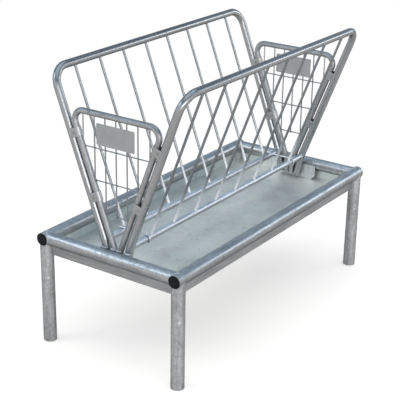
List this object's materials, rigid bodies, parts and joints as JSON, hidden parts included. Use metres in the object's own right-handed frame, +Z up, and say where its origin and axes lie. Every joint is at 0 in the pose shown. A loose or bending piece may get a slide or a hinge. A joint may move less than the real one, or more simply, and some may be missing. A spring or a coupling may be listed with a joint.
{
  "type": "pasture feed trough",
  "caption": "Galvanised steel feed trough on legs, a shallow sheet tray in a tube frame with a V-shaped barred hay rack and mesh end panels standing in it.",
  "frame": {"origin": "on the ground, below the middle of the trough", "axes": "+Z up, X along the trough with left at -X, front at -Y"},
  "size_m": [1.609, 0.775, 1.2797],
  "materials": {
    "galvanised_steel": "hot-dip galvanised, weathered, satin with light spangle",
    "tray_sheet": "hot-dip galvanised sheet, dull",
    "plate_sheet": "dull galvanised sheet, bare",
    "bolt_steel": "zinc-plated, dark with age",
    "plastic": "matte black"
  },
  "bodies": {
    "root": {"back_rail": "galvanised_steel", "clamp_bolt_back_left_lower": "bolt_steel", "clamp_bolt_back_left_upper": "bolt_steel", "clamp_bolt_back_right_lower": "bolt_steel", "clamp_bolt_back_right_upper": "bolt_steel", "clamp_bolt_front_left_lower": "bolt_steel", "clamp_bolt_front_left_upper": "bolt_steel", "clamp_bolt_front_right_lower": "bolt_steel", "clamp_bolt_front_right_upper": "bolt_steel", "clamp_strap_back_left_lower": "galvanised_steel", "clamp_strap_back_left_upper": "galvanised_steel", "clamp_strap_back_right_lower": "galvanised_steel", "clamp_strap_back_right_upper": "galvanised_steel", "clamp_strap_front_left_lower": "galvanised_steel", "clamp_strap_front_left_upper": "galvanised_steel", "clamp_strap_front_right_lower": "galvanised_steel", "clamp_strap_front_right_upper": "galvanised_steel", "foot_plate_left": "galvanised_steel", "foot_plate_right": "galvanised_steel", "front_rail": "galvanised_steel", "left_cross_tube": "galvanised_steel", "leg_back_left": "galvanised_steel", "leg_back_right": "galvanised_steel", "leg_front_left": "galvanised_steel", "leg_front_right": "galvanised_steel", "lower_rail_back": "galvanised_steel", "lower_rail_front": "galvanised_steel", "name_plate_left": "plate_sheet", "name_plate_right": "plate_sheet", "panel_mesh_left": "galvanised_steel", "panel_mesh_right": "galvanised_steel", "panel_tube_left": "galvanised_steel", "panel_tube_right": "galvanised_steel", "rack_bar_back_1": "galvanised_steel", "rack_bar_back_2": "galvanised_steel", "rack_bar_back_3": "galvanised_steel", "rack_bar_back_4": "galvanised_steel", "rack_bar_back_5": "galvanised_steel", "rack_bar_back_6": "galvanised_steel", "rack_bar_back_7": "galvanised_steel", "rack_bar_back_8": "galvanised_steel", "rack_bar_front_1": "galvanised_steel", "rack_bar_front_2": "galvanised_steel", "rack_bar_front_3": "galvanised_steel", "rack_bar_front_4": "galvanised_steel", "rack_bar_front_5": "galvanised_steel", "rack_bar_front_6": "galvanised_steel", "rack_bar_front_7": "galvanised_steel", "rack_bar_front_8": "galvanised_steel", "rack_frame_back": "galvanised_steel", "rack_frame_front": "galvanised_steel", "rail_plug_back_left": "plastic", "rail_plug_back_right": "plastic", "rail_plug_front_left": "plastic", "rail_plug_front_right": "plastic", "right_cross_tube": "galvanised_steel", "tie_bar_left": "galvanised_steel", "tie_bar_right": "galvanised_steel", "tray": "tray_sheet"}
  },
  "joints": []
}
